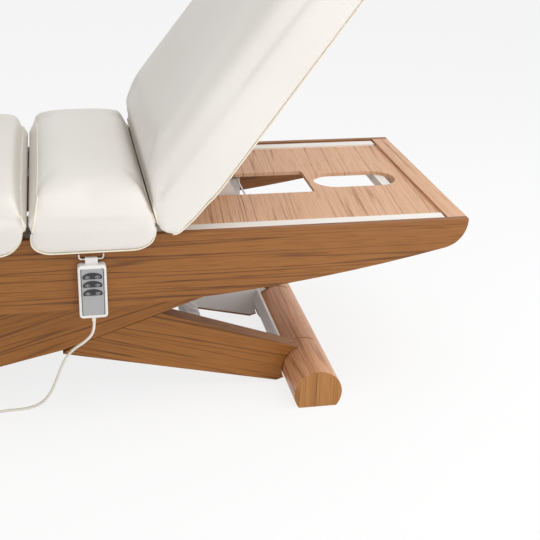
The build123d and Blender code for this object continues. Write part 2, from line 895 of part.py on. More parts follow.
write(board(seat_start, seat_end, seat_board_half_width, (back_hinge_x, leg_hinge_x)), "seat_board")
write(raised(board(back_board_start, back_board_end, board_half_width, (back_hinge_x,))), "back_board")
write(board(leg_board_start, leg_board_end, board_half_width, (leg_hinge_x,)), "leg_board")

pad_inset = 20
pad_length = 50
with BuildPart() as seat_pads:
    with BuildSketch(Plane.XY.offset(rail_top)):
        with Locations(
            *[
                (x, sign * rail_center)
                for x in (seat_start + pad_inset + pad_length / 2, seat_end - pad_inset - pad_length / 2)
                for sign in (-1, 1)
            ]
        ):
            Rectangle(pad_length, rail_width / 2)
    extrude(amount=board_bottom - rail_top)
write(seat_pads.part, "seat_pads")

# Levers that the back and leg actuators push, with a slot for the rod's pin
back_lever_flat = [(340, 512), (475, 512), (386, 317), (238, 352), (215, 385), (340, 455)]
back_slot_turn = 127.5 - back_tilt
back_slot_low, back_slot_high = 14.4, 11.4
back_slot_across = 1.7
back_slot_slack = 6.4
back_slot_width = 2 * end_pin_radius + back_slot_slack
leg_lever_flat = [(-118, 512), (-290, 512), (-130, 385), (-98, 374), (-84, 387)]
leg_slot_turn = 61.7
leg_slot_low, leg_slot_high = 0.6, 3.2


def flat_place(place):
    """Where a place of the raised backrest lies when the backrest is flat."""
    turn = radians(-back_tilt)
    x = place[0] - back_hinge_x
    z = place[1] - hinge_height
    return (
        back_hinge_x + x * cos(turn) - z * sin(turn),
        hinge_height + x * sin(turn) + z * cos(turn),
    )


def lever(corners, pin_place, y, slot_turn, slot_low, slot_high, slot_across, slot_width):
    """Two plates under the board with a rounded end about the pin and a slot for it."""
    turn = radians(slot_turn)
    shift = (slot_high - slot_low) / 2
    center_x = pin_place[0] + shift * cos(turn) - slot_across * sin(turn)
    center_z = pin_place[1] + shift * sin(turn) + slot_across * cos(turn)
    with BuildPart() as plates:
        for sign in (-1, 1):
            start = y - fork_inner if sign < 0 else y + fork_inner + fork_thickness
            with BuildSketch(side(start)):
                with BuildLine():
                    Polyline(*corners, close=True)
                make_face()
                with Locations((center_x, center_z)):
                    Circle((slot_low + slot_high) / 2 + end_pin_radius + fork_thickness)
                    SlotOverall(
                        slot_low + slot_high + 2 * end_pin_radius,
                        slot_width,
                        rotation=slot_turn,
                        mode=Mode.SUBTRACT,
                    )
            extrude(amount=fork_thickness)
    return plates.part


back_lever = lever(
    back_lever_flat,
    flat_place(back_end),
    back_y,
    back_slot_turn,
    back_slot_low,
    back_slot_high,
    back_slot_across,
    back_slot_width,
)
write(raised(back_lever), "back_lever")
leg_slot_width = 2 * end_pin_radius + 4 * running_gap
leg_lever = lever(leg_lever_flat, leg_end, leg_y, leg_slot_turn, leg_slot_low, leg_slot_high, 0, leg_slot_width)
write(leg_lever, "leg_lever")


# Cushions: side outline and cross-section, kept where both cover
def cushion(profile_points, round_from, start, end, hem_bottom, pocket_places):
    """The side outline gives the ends, the cross-section the crown and the drawn-in sides."""
    underside = board_top + cushion_gap
    with BuildPart() as pad:
        with BuildSketch(side(cushion_bulge)):
            with BuildLine():
                Polyline(*profile_points, close=True)
            outline = make_face()
            corners = outline.vertices().group_by(Axis.Y)[-1].sort_by(Axis.X)
            for corner, radius in zip(corners, round_from):
                if radius:
                    fillet(corner, radius)
        extrude(amount=2 * cushion_bulge)
        with BuildSketch(Plane.YZ.offset(start)):
            with BuildLine():
                crown_fall = 2 * (cushion_top - cushion_edge_top) / cushion_edge_y
                crown = Spline(
                    (0, cushion_top),
                    (cushion_edge_y, cushion_edge_top),
                    tangents=((1, 0), (1, -crown_fall)),
                )
                shoulder = Spline(
                    crown @ 1, (cushion_bulge, cushion_bulge_height), tangents=(crown % 1, (0, -1))
                )
                side_line = Spline(
                    shoulder @ 1,
                    (hem_outer, hem_bottom),
                    tangents=((0, -1), (-sin(radians(hem_lean)), -cos(radians(hem_lean)))),
                )
                Polyline(
                    side_line @ 1,
                    (hem_inner, hem_bottom),
                    (hem_inner - cushion_gap, underside),
                    (0, underside),
                    (0, cushion_top),
                )
            make_face()
            mirror(about=Plane.YZ)
        extrude(amount=end - start, mode=Mode.INTERSECT)
        if pocket_places:
            with BuildSketch(Plane.XY.offset(underside)):
                with Locations(
                    *[
                        (x, sign * (notch_inner + notch_outer) / 2)
                        for x in pocket_places
                        for sign in (-1, 1)
                    ]
                ):
                    Rectangle(2 * notch_reach, notch_width)
            extrude(amount=ear_top + notch_margin - underside, mode=Mode.SUBTRACT)
    return pad.part


seat_lean = 21.3
seat_foot_lean = 13
leg_head_lean = 13
back_foot_lean = 44
seat_hem_start, seat_hem_end = -47, 265
back_hem_start = 276
back_pad_start = 268
back_pad_end = 1050
leg_hem_start = -52
leg_pad_start = -42
leg_pad_end = -1050
pad_lift = 20
profile_top = cushion_top + pad_lift


def leaning(x, height, lean):
    """X at a height above the hinge for a face that leans by an angle from upright."""
    return x + (height - hinge_height) * tan(radians(lean))


seat_profile = [
    (seat_hem_start, seat_hem_bottom),
    (seat_start, hinge_height + cushion_end_radius / 4),
    (leaning(seat_start, profile_top, seat_foot_lean), profile_top),
    (leaning(seat_end + hinge_eye_radius / 2, profile_top, -seat_lean), profile_top),
    (seat_end + hinge_eye_radius / 2, hinge_height),
    (seat_hem_end, seat_hem_bottom),
]
write(
    cushion(seat_profile, (cushion_end_radius, cushion_end_radius), seat_hem_start, seat_hem_end,
            seat_hem_bottom, (back_hinge_x, leg_hinge_x)),
    "seat_cushion",
)
hem_fall_x = 430
hem_fall_mid_x = 340
hem_fall_mid = 470
back_profile = [
    (back_hem_start, seat_hem_bottom),
    (back_pad_start, hinge_height),
    (leaning(back_pad_start, profile_top, back_foot_lean), profile_top),
    (back_pad_end, profile_top),
    (back_pad_end, back_hem_bottom),
    (hem_fall_x, back_hem_bottom),
    (hem_fall_mid_x, hem_fall_mid),
]
write(
    raised(
        cushion(back_profile, (cushion_end_radius, cushion_end_radius), back_pad_start, back_pad_end,
                back_hem_bottom, (back_hinge_x,))
    ),
    "back_cushion",
)
leg_profile = [
    (leg_hem_start, seat_hem_bottom),
    (leg_pad_start, hinge_height),
    (leaning(leg_pad_start, profile_top, -leg_head_lean), profile_top),
    (leg_pad_end, profile_top),
    (leg_pad_end, seat_hem_bottom),
]
write(
    cushion(leg_profile, (cushion_end_radius, cushion_end_radius), leg_pad_end, leg_pad_start,
            seat_hem_bottom, (leg_hinge_x,)),
    "leg_cushion",
)

# Hand control on its wire hook
hook_bend = 3 * hook_wire_radius
hook_left = control_x - hook_half_width
hook_right = control_x + hook_half_width
peg_depth = table_half_width - panel_thickness / 2
with BuildPart() as control_hook:
    with BuildLine():
        FilletPolyline(
            (hook_left, -peg_depth, hook_top),
            (hook_left, -hook_y, hook_top),
            (hook_left, -hook_y, hook_bar_height),
            (hook_right, -hook_y, hook_bar_height),
            (hook_right, -hook_y, hook_top),
            (hook_right, -peg_depth, hook_top),
            radius=hook_bend,
        )
    with BuildSketch(Plane(origin=(hook_left, -peg_depth, hook_top), z_dir=(0, -1, 0))):
        Circle(hook_wire_radius)
    sweep()
write(control_hook.part, "control_hook")

control_top = control_bottom + control_height
control_front = control_back + control_depth
control_corner = 9
face_recess = 1.2
face_border = 8
face_width = control_width - face_border
face_bottom = control_bottom + face_border
face_top = control_top - face_border
key_centers = [key_top_center - key_pitch * index for index in range(3)]
well_floor = 6
well_depth = key_travel_gap + well_floor
hanger_top = hook_bar_height + hook_wire_radius + running_gap + hanger_sheet
lip_back = hook_y - hook_wire_radius - running_gap - hanger_sheet
lip_drop = 7
tab_front = hook_y + hook_wire_radius + running_gap + hanger_sheet
with BuildPart() as control_case:
    with BuildSketch(side(-control_back)):
        with Locations((control_x, control_bottom + control_height / 2)):
            RectangleRounded(control_width, control_height, control_corner)
    extrude(amount=control_depth)
    fillet(control_case.faces().sort_by(Axis.Y)[0].edges(), control_corner / 3)
    with BuildSketch(side(-control_front)):
        with Locations((control_x, (face_bottom + face_top) / 2)):
            RectangleRounded(face_width, face_top - face_bottom, control_corner / 2)
    extrude(amount=-face_recess, mode=Mode.SUBTRACT)
    with BuildSketch(side(-control_front)):
        with Locations(*[(control_x, height) for height in key_centers]):
            Rectangle(key_width + key_travel_gap, key_height + key_travel_gap)
    extrude(amount=-well_depth, mode=Mode.SUBTRACT)
    with BuildSketch(side(-(tab_front - hanger_sheet))):
        with Locations((control_x, control_top)):
            Rectangle(hanger_width, 2 * (hanger_top - control_top), align=(Align.CENTER, Align.CENTER))
    extrude(amount=hanger_sheet)
    with BuildSketch(side(-lip_back)):
        with Locations((control_x, hanger_top)):
            Rectangle(hanger_width, hanger_sheet, align=(Align.CENTER, Align.MAX))
    extrude(amount=tab_front - lip_back)
    with BuildSketch(side(-lip_back)):
        with Locations((control_x, hanger_top)):
            Rectangle(hanger_width, lip_drop, align=(Align.CENTER, Align.MAX))
    extrude(amount=hanger_sheet)
write(control_case.part, "control_case")

face_sheet = 1
with BuildPart() as control_face:
    with BuildSketch(side(-(control_front - face_recess))):
        with Locations((control_x, (face_bottom + face_top) / 2)):
            RectangleRounded(
                face_width - 2 * running_gap, face_top - face_bottom - 2 * running_gap, control_corner / 2
            )
        with Locations(*[(control_x, height) for height in key_centers]):
            Rectangle(key_width + key_travel_gap, key_height + key_travel_gap, mode=Mode.SUBTRACT)
    extrude(amount=face_sheet)
write(control_face.part, "control_face")

key_depth = 5
key_corner = 3
key_ridge = 0.8
key_axle_radius = 1.2
key_axle_depth = 1
key_axle_gap = 0.1
key_axle_length = key_height + key_travel_gap - 2 * key_axle_gap
for index, height in enumerate(key_centers):
    with BuildPart() as key:
        with BuildSketch(side(-(control_front - key_depth + key_rise))):
            with Locations((control_x, height)):
                RectangleRounded(key_width, key_height, key_corner)
        extrude(amount=key_depth)
        for lobe in (-1, 1):
            with BuildSketch(side(-(control_front + key_rise))):
                with Locations((control_x + lobe * key_width / 4, height)):
                    Ellipse(key_width / 5, key_height / 3)
            extrude(amount=-key_ridge, mode=Mode.SUBTRACT)
        with BuildSketch(Plane.XY.offset(height - key_axle_length / 2)):
            with Locations((control_x, key_axle_depth - control_front)):
                Circle(key_axle_radius)
        extrude(amount=key_axle_length)
    write(key.part, f"control_key_{index + 1}")

# Cord: strain relief at the hand control, the run down to the floor and up to the gland
cord_diameter = 7
relief_top_radius = 6
relief_bottom_radius = 4.5
relief_length = 14
relief_y = -(control_back + control_depth / 2)
with BuildPart() as cord_relief:
    with BuildSketch(Plane.XY.offset(control_bottom - relief_length)):
        with Locations((control_x, relief_y)):
            Circle(relief_bottom_radius)
    with BuildSketch(Plane.XY.offset(control_bottom)):
        with Locations((control_x, relief_y)):
            Circle(relief_top_radius)
    loft()
write(cord_relief.part, "cord_relief")

gland_x = -545
gland_y = -(long_tube_inner + tube_size / 2)
gland_height = 20
gland_radius = 9
with BuildPart() as cord_gland:
    with BuildSketch(Plane.XY.offset(tube_bottom - gland_height)):
        with Locations((gland_x, gland_y)):
            Circle(gland_radius)
    extrude(amount=gland_height)
write(cord_gland.part, "cord_gland")

cord_floor = cord_diameter / 2 + cushion_gap
cord_route = [
    (control_x, relief_y, control_bottom - relief_length),
    (control_x, relief_y, 268),
    (82, -369, 240),
    (53, -353, 214),
    (32, -334, 181),
    (18, -318, 143),
    (4, -301, 98),
    (-13, -287, 52),
    (-38, -276, 18),
    (-75, -271, cord_floor),
    (-128, -272, cord_floor),
    (-190, -282, cord_floor),
    (-262, -302, cord_floor),
    (-338, -317, cord_floor),
    (-412, -312, cord_floor),
    (-474, -292, 7.8),
    (-516, -274, 28),
    (-540, -262, 72),
    (-549, -256, 130),
    (-547, -254, 200),
    (-542, -253, 280),
    (-541, -253, 350),
    (gland_x, gland_y, 408),
    (gland_x, gland_y, tube_bottom - gland_height),
]
cord_turn_share = 0.45
cord_radii = []
cord_bends = []
for before, corner, after in zip(cord_route, cord_route[1:], cord_route[2:]):
    run_in = Vector(*corner) - Vector(*before)
    run_out = Vector(*after) - Vector(*corner)
    turn = run_in.get_angle(run_out)
    shorter = min(run_in.length, run_out.length)
    cord_radii.append(cord_turn_share * shorter / tan(radians(turn / 2)))
    cord_bends.append(turn)
print("cord radii", [round(radius) for radius in cord_radii], "turns", [round(turn) for turn in cord_bends])
with BuildPart() as control_cord:
    with BuildLine() as cord_line:
        FilletPolyline(*cord_route, radius=cord_radii)
    with BuildSketch(Plane(origin=cord_route[0], z_dir=cord_line.line % 0)):
        Circle(cord_diameter / 2)
    sweep()
cord_length = sum(edge.length for edge in cord_line.edges())
cord_section = Circle(cord_diameter / 2, mode=Mode.PRIVATE).area
print(f"cord length {cord_length:.0f}, volume share {control_cord.part.volume / cord_section / cord_length:.4f}")
write(control_cord.part, "control_cord")
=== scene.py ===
import math

import bmesh
import bpy
from mathutils import Matrix, Vector


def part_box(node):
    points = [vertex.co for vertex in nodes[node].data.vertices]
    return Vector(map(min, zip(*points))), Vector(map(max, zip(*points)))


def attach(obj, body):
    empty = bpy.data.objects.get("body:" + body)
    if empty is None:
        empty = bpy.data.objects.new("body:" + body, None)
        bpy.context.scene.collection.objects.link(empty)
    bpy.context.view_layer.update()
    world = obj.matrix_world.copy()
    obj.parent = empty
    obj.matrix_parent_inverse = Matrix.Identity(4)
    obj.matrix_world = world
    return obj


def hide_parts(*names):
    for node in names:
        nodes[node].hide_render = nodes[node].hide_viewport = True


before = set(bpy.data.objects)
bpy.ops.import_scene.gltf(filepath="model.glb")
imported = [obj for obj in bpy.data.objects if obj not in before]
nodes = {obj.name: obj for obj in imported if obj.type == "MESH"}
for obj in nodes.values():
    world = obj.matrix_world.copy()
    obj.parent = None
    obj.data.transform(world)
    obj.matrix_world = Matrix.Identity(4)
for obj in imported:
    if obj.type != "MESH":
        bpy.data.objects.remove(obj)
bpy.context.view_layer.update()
quarterTurn = math.radians(90)
tableSides = {"Near": -1, "Far": 1}
print("frame loaded:", len(nodes), "nodes")


# Camera at the photograph's angle, worked out from its vanishing points
cameraSetup = {
    "place": (0.0310, -2.7363, 1.4684),
    "right": (0.97967, -0.19891, 0.0260),
    "down": (-0.05683, -0.39949, -0.9150),
    "forward": (0.19238, 0.8949, -0.4027),
    "lens": 71.09,
    "sensor": 36,
    "reach": 60,
}


def makeCamera():
    data = bpy.data.cameras.new("tableCamera")
    data.lens = cameraSetup["lens"]
    data.sensor_width = cameraSetup["sensor"]
    data.clip_end = cameraSetup["reach"]
    camera = bpy.data.objects.new("tableCamera", data)
    right = Vector(cameraSetup["right"])
    up = -Vector(cameraSetup["down"])
    back = -Vector(cameraSetup["forward"])
    turn = Matrix((right, up, back)).transposed().to_4x4()
    camera.matrix_world = Matrix.Translation(cameraSetup["place"]) @ turn
    bpy.context.collection.objects.link(camera)
    bpy.context.scene.camera = camera


makeCamera()
print("camera placed")


# Shader sums read as Python: a wire is one node socket
class Wire:
    def __init__(self, tree, socket):
        self.tree = tree
        self.socket = socket

    def node(self, kind, inputs, out=0, **settings):
        made = self.tree.nodes.new(kind)
        for name, value in settings.items():
            setattr(made, name, value)
        for name, value in inputs.items():
            if isinstance(value, Wire):
                self.tree.links.new(value.socket, made.inputs[name])
            else:
                made.inputs[name].default_value = value
        return Wire(self.tree, made.outputs[out])

    def math(self, operation, other):
        return self.node("ShaderNodeMath", {0: self, 1: other}, operation=operation)

    def __add__(self, other):
        return self.math("ADD", other)

    __radd__ = __add__

    def __sub__(self, other):
        return self.math("SUBTRACT", other)

    def __mul__(self, other):
        return self.math("MULTIPLY", other)


def tone(red, green, blue):
    # a colour as a screen shows it, turned into the linear one that the shader wants
    parts = [value / 255 for value in (red, green, blue)]
    linear = [part / 12.92 if part < 0.04045 else ((part + 0.055) / 1.055) ** 2.4 for part in parts]
    return (*linear, 1.0)


def newFinish(name):
    material = bpy.data.materials.new(name)
    material.use_nodes = True
    tree = material.node_tree
    tree.nodes.clear()
    output = tree.nodes.new("ShaderNodeOutputMaterial")
    shader = tree.nodes.new("ShaderNodeBsdfPrincipled")
    tree.links.new(shader.outputs[0], output.inputs[0])
    coordinates = tree.nodes.new("ShaderNodeTexCoord")
    return material, shader, Wire(tree, coordinates.outputs["Object"])


def feed(shader, values):
    for name, value in values.items():
        if isinstance(value, Wire):
            value.tree.links.new(value.socket, shader.inputs[name])
        else:
            shader.inputs[name].default_value = value


def stretched(place, scale):
    return place.node("ShaderNodeMapping", {"Vector": place, "Scale": scale})


def cloud(place, size, detail=2.0, rough=0.5, distortion=0.0):
    return place.node("ShaderNodeTexNoise", {
        "Vector": place, "Scale": size, "Detail": detail, "Roughness": rough,
        "Distortion": distortion,
    })


def cells(place, size, randomness=1.0):
    return place.node(
        "ShaderNodeTexVoronoi", {"Vector": place, "Scale": size, "Randomness": randomness},
        feature="F1",
    )


def faded(value, stops):
    ramp = value.node("ShaderNodeValToRGB", {"Fac": value})
    elements = ramp.socket.node.color_ramp.elements
    while len(elements) < len(stops):
        elements.new(0.5)
    for element, (place, grey) in zip(elements, stops):
        element.position = place
        element.color = (grey, grey, grey, 1)
    return ramp


def blendTones(factor, first, second):
    return factor.node(
        "ShaderNodeMix", {0: factor, 6: first, 7: second}, out=2, data_type="RGBA"
    )


def bumped(height, strength, distance):
    return height.node(
        "ShaderNodeBump", {"Height": height, "Strength": strength, "Distance": distance}
    )


# Oak veneer: figure lines, pores and slow changes of tone, all stretched along the grain
oakFigure = {
    "ringStretch": (0.42, 24.0, 24.0),
    "poreStretch": (11.0, 420.0, 420.0),
    "streakStretch": (1.7, 130.0, 130.0),
    "slowStretch": (0.5, 6.0, 6.0),
    "rings": 19.0,
    "lineFade": [(0.0, 1), (0.10, 0.7), (0.30, 0)],
    "poreFade": [(0.36, 1), (0.46, 0)],
    "lineDark": 0.68,
    "poreDark": 0.28,
    "poreRough": 0.15,
    "relief": (0.12, 0.0006),
    "coatRough": 0.35,
    "shine": 0.35,
}


def oakFinish(
    name, tones, turn=(0.0, 0.0, 0.0), shift=(0.0, 0.0, 0.0), rough=0.42, figure=1.0, depth=1.0
):
    dark, middle, light = [tone(*parts) for parts in tones]
    material, shader, place = newFinish(name)
    grain = place.node(
        "ShaderNodeMapping", {"Vector": place, "Rotation": turn, "Location": shift}
    )

    def grained(key):
        along, across, thick = oakFigure[key]
        return stretched(grain, (along, across, thick * depth))

    rings = cloud(grained("ringStretch"), 1.0, 2.0, 0.4, 0.15) * (oakFigure["rings"] * figure)
    lines = rings.math("PINGPONG", 1.0)
    streaks = cloud(grained("streakStretch"), 1.0)
    pores = faded(cloud(grained("poreStretch"), 1.0, 1.0), oakFigure["poreFade"])
    slow = cloud(grained("slowStretch"), 1.0)
    edges = faded(lines + streaks * 0.5 - 0.25, oakFigure["lineFade"])
    base = blendTones(slow * 0.6 + streaks * 0.9 - 0.25, light, middle)
    darkening = edges * oakFigure["lineDark"] + pores * oakFigure["poreDark"]
    feed(shader, {
        "Base Color": blendTones(darkening, base, dark),
        "Roughness": rough + pores * oakFigure["poreRough"],
        "Normal": bumped(lines * 0.25 - pores * 0.8, *oakFigure["relief"]),
        "Coat Roughness": oakFigure["coatRough"],
        "Specular IOR Level": oakFigure["shine"],
    })
    return material


# The tones run from dark to light, as a screen shows them
panelTones = ((84, 46, 16), (134, 82, 33), (157, 102, 46))
armTones = ((88, 50, 18), (144, 89, 36), (166, 109, 50))
deckTones = ((158, 108, 76), (204, 160, 126), (220, 178, 144))
footTones = ((150, 96, 60), (200, 142, 102), (224, 170, 128))
footEndTones = ((120, 74, 32), (158, 106, 54), (182, 130, 74))
armSlope = math.radians(15.87)
deckSkew = 0.09
oakLooks = {
    "oakAlong": {"tones": panelTones},
    "oakAlongFar": {"tones": panelTones, "shift": (0.4, 0.3, 0.21)},
    "oakAcross": {"tones": deckTones, "turn": (0, 0, quarterTurn), "shift": (0.3, 0.1, 0.2)},
    "oakArmA": {"tones": armTones, "turn": (0, armSlope, 0), "shift": (0.0, 0.0, 0.33)},
    "oakArmB": {"tones": armTones, "turn": (0, -armSlope, 0), "shift": (0.0, 0.0, 0.71)},
    "oakDeck": {
        "tones": deckTones, "turn": (0, 0, quarterTurn + deckSkew), "figure": 0.85, "depth": 0.04,
    },
    "oakFoot": {"tones": footTones, "turn": (0, 0, quarterTurn), "rough": 0.36},
    "oakFootEnd": {"tones": footEndTones, "turn": (0, quarterTurn, 0), "figure": 1.6},
}
finishes = {name: oakFinish(name, **look) for name, look in oakLooks.items()}
print("oak finishes made")


# Birch plywood: pale faces with faint figure, and plies that show at the edges
plywoodLook = {
    "tone": (190, 158, 118), "pale": (216, 188, 148), "ply": (150, 112, 76),
    "faceStretch": (1.5, 14.0, 1.5), "plyStretch": (0.4, 0.4, 520.0), "plyDark": 0.35,
    "rough": 0.55, "spread": 0.12, "relief": (0.1, 0.0005),
}


def plywoodFinish():
    material, shader, place = newFinish("birchPly")
    figure = cloud(stretched(place, plywoodLook["faceStretch"]), 2.0, 3.0, 0.55, 0.4)
    layers = cloud(stretched(place, plywoodLook["plyStretch"]), 1.0, 0.0)
    base = blendTones(figure, tone(*plywoodLook["tone"]), tone(*plywoodLook["pale"]))
    feed(shader, {
        "Base Color": blendTones(layers * plywoodLook["plyDark"], base, tone(*plywoodLook["ply"])),
        "Roughness": plywoodLook["rough"] + figure * plywoodLook["spread"],
        "Normal": bumped(figure * 0.5 + layers * 0.3, *plywoodLook["relief"]),
    })
    return material


# Off-white leatherette: pebbled grain, soft creases and a slight change of tone
leatheretteLook = {
    "tone": (232, 228, 223), "shade": (220, 215, 207), "pebble": 1150.0, "uneven": 0.9,
    "crease": (9.0, 9.0, 14.0), "folds": 3.0, "rough": 0.40, "relief": (0.22, 0.0011),
    "coatRough": 0.4, "shine": 0.42,
}


def leatheretteFinish():
    material, shader, place = newFinish("leatherette")
    pebbles = cells(place, leatheretteLook["pebble"], leatheretteLook["uneven"])
    creases = cloud(stretched(place, leatheretteLook["crease"]), 1.0, 4.0, 0.55, 0.8)
    slow = cloud(place, 3.2)
    pull = (creases * leatheretteLook["folds"]).math("PINGPONG", 1.0)
    feed(shader, {
        "Base Color": blendTones(
            slow, tone(*leatheretteLook["tone"]), tone(*leatheretteLook["shade"])
        ),
        "Roughness": leatheretteLook["rough"] + pebbles * 0.10 + slow * 0.08,
        "Normal": bumped(pebbles * 0.25 + pull * 1.2, *leatheretteLook["relief"]),
        "Coat Roughness": leatheretteLook["coatRough"],
        "Specular IOR Level": leatheretteLook["shine"],
    })
    return material


weltLook = {
    "tone": (240, 232, 214), "shade": (226, 214, 192), "ridges": 900.0, "rough": 0.42,
    "spread": 0.1, "relief": (0.2, 0.0004),
}


def weltFinish():
    material, shader, place = newFinish("weltCream")
    ridges = cells(place, weltLook["ridges"])
    slow = cloud(place, 20.0)
    feed(shader, {
        "Base Color": blendTones(slow, tone(*weltLook["tone"]), tone(*weltLook["shade"])),
        "Roughness": weltLook["rough"] + ridges * weltLook["spread"],
        "Normal": bumped(ridges, *weltLook["relief"]),
    })
    return material


# Metals and plastics: each with its own speckle and wear
plainLooks = {
    "whiteLacquer": {
        "base": (240, 238, 235), "worn": (226, 223, 218), "size": 900, "rough": 0.30,
        "spread": 0.12,
    },
    "greyCoat": {
        "base": (236, 234, 233), "worn": (222, 220, 220), "size": 1400, "rough": 0.38,
        "spread": 0.2, "relief": 0.25,
    },
    "steel": {
        "base": (222, 222, 222), "worn": (186, 186, 188), "size": 300, "rough": 0.22,
        "spread": 0.2, "metal": 1.0, "stretch": (1, 14, 1),
    },
    "blackCase": {
        "base": (38, 38, 41), "worn": (56, 56, 60), "size": 1100, "rough": 0.45,
        "spread": 0.2, "relief": 0.3,
    },
    "nylon": {
        "base": (226, 225, 220), "worn": (205, 203, 196), "size": 700, "rough": 0.4,
        "spread": 0.15,
    },
    "whiteShell": {
        "base": (236, 235, 231), "worn": (222, 220, 214), "size": 1500, "rough": 0.36,
        "spread": 0.14, "relief": 0.2,
    },
    "greyPlate": {
        "base": (172, 172, 172), "worn": (158, 158, 159), "size": 1600, "rough": 0.42,
        "spread": 0.15, "relief": 0.2,
    },
    "darkKey": {
        "base": (34, 35, 42), "worn": (48, 49, 56), "size": 1300, "rough": 0.5,
        "spread": 0.2, "relief": 0.25,
    },
    "paleMark": {
        "base": (190, 191, 190), "worn": (172, 173, 171), "size": 1500, "rough": 0.45,
        "spread": 0.1,
    },
    "creamSheath": {
        "base": (236, 233, 222), "worn": (220, 215, 200), "size": 800, "rough": 0.42,
        "spread": 0.14,
    },
}
speckleDepth = 0.0003


def plainFinish(
    name, base, worn, size, rough, spread, metal=0.0, stretch=(1.0, 1.0, 1.0), relief=0.1
):
    material, shader, place = newFinish(name)
    speckle = cloud(stretched(place, stretch), size, 3.0, 0.6)
    slow = cloud(place, 6.0)
    feed(shader, {
        "Base Color": blendTones(slow * 0.6 + speckle * 0.3, tone(*base), tone(*worn)),
        "Roughness": rough + speckle * spread,
        "Normal": bumped(speckle, relief, speckleDepth),
        "Metallic": metal,
    })
    return material


finishes["birchPly"] = plywoodFinish()
finishes["leatherette"] = leatheretteFinish()
finishes["weltCream"] = weltFinish()
finishes.update({name: plainFinish(name, **look) for name, look in plainLooks.items()})

nodeFinishes = {
    "oakAlong": ["near_side_panel"],
    "oakAlongFar": ["far_side_panel"],
    "oakAcross": ["end_boards"],
    "oakArmA": ["arm_a_near_cladding", "arm_a_far_cladding"],
    "oakArmB": ["arm_b_near_cladding", "arm_b_far_cladding"],
    "oakDeck": ["head_deck", "foot_deck"],
    "oakFoot": ["left_foot", "right_foot"],
    "whiteLacquer": ["side_rails"],
    "greyCoat": [
        "arm_a_frame", "arm_b_frame", "lift_lever", "lift_anchor_bracket", "long_tubes",
        "cross_tubes", "stub_tubes", "roller_tracks", "arm_brackets", "anchor_brackets",
        "hinge_ears", "back_hinge_arms", "back_lever", "leg_hinge_arms", "leg_lever",
    ],
    "steel": [
        "left_foot_axle", "right_foot_axle", "center_axle", "arm_a_upper_pins", "lift_anchor_pin",
        "arm_b_upper_pins", "cross_rod", "anchor_pins", "hinge_pins", "control_hook",
        "lift_actuator_rod", "back_actuator_rod", "leg_actuator_rod",
    ],
    "nylon": ["arm_a_rollers", "seat_pads"],
    "blackCase": [
        "control_box", "cord_gland", "lift_actuator_housing", "back_actuator_housing",
        "leg_actuator_housing",
    ],
    "birchPly": ["seat_board", "back_board", "leg_board"],
    "whiteShell": ["control_case"],
    "greyPlate": ["control_face"],
    "darkKey": ["control_key_1", "control_key_2", "control_key_3"],
    "creamSheath": ["cord_relief"],
}
for finishName, nodeNames in nodeFinishes.items():
    for nodeName in nodeNames:
        for slot in nodes[nodeName].material_slots:
            slot.material = finishes[finishName]
print("CAD pieces finished:", sum(len(names) for names in nodeFinishes.values()))


def addPiece(name, mesh, finishName, body):
    piece = bpy.data.objects.new(name, mesh)
    bpy.context.collection.objects.link(piece)
    mesh.materials.clear()
    mesh.materials.append(finishes[finishName])
    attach(piece, body)
    return piece


def meshFrom(name, shape, smooth=False):
    mesh = bpy.data.meshes.new(name)
    shape.to_mesh(mesh)
    shape.free()
    mesh.polygons.foreach_set("use_smooth", [smooth] * len(mesh.polygons))
    return mesh


def makeTube(name, points, radius, making, finishName):
    line = bpy.data.curves.new(name, "CURVE")
    line.dimensions = "3D"
    line.bevel_depth = radius
    line.bevel_resolution = making["sides"]
    line.resolution_u = making["steps"]
    line.use_fill_caps = making["capped"]
    spline = line.splines.new("NURBS")
    spline.points.add(len(points) - 1)
    for point, place in zip(spline.points, points):
        point.co = (*place, 1.0)
    spline.order_u = making["order"]
    spline.use_endpoint_u = True
    line.materials.append(finishes[finishName])
    tube = bpy.data.objects.new(name, line)
    bpy.context.collection.objects.link(tube)
    return tube


# The control's cord: down to the floor, along it, and up to the gland under the table
cordRun = {
    "diameter": 0.007, "length": 1.256, "sides": 4, "steps": 10, "order": 3, "capped": True,
    "route": [
        (0.104, -0.374, 0.296), (0.104, -0.374, 0.268), (0.082, -0.369, 0.240),
        (0.053, -0.353, 0.214), (0.032, -0.334, 0.181), (0.018, -0.318, 0.143),
        (0.004, -0.301, 0.098), (-0.013, -0.287, 0.052), (-0.038, -0.276, 0.018),
        (-0.075, -0.271, 0.0038), (-0.128, -0.272, 0.0038), (-0.190, -0.282, 0.0038),
        (-0.262, -0.302, 0.0038), (-0.338, -0.317, 0.0038), (-0.412, -0.312, 0.0038),
        (-0.474, -0.292, 0.0078), (-0.516, -0.274, 0.028), (-0.540, -0.262, 0.072),
        (-0.549, -0.256, 0.130), (-0.547, -0.254, 0.200), (-0.542, -0.253, 0.280),
        (-0.541, -0.253, 0.350), (-0.545, -0.2525, 0.408), (-0.545, -0.2525, 0.447),
    ],
}


def makeCord():
    cord = makeTube(
        "controlCord", cordRun["route"], cordRun["diameter"] / 2, cordRun, "creamSheath"
    )
    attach(cord, "platform")
    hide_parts("control_cord")


makeCord()
print("cord laid")


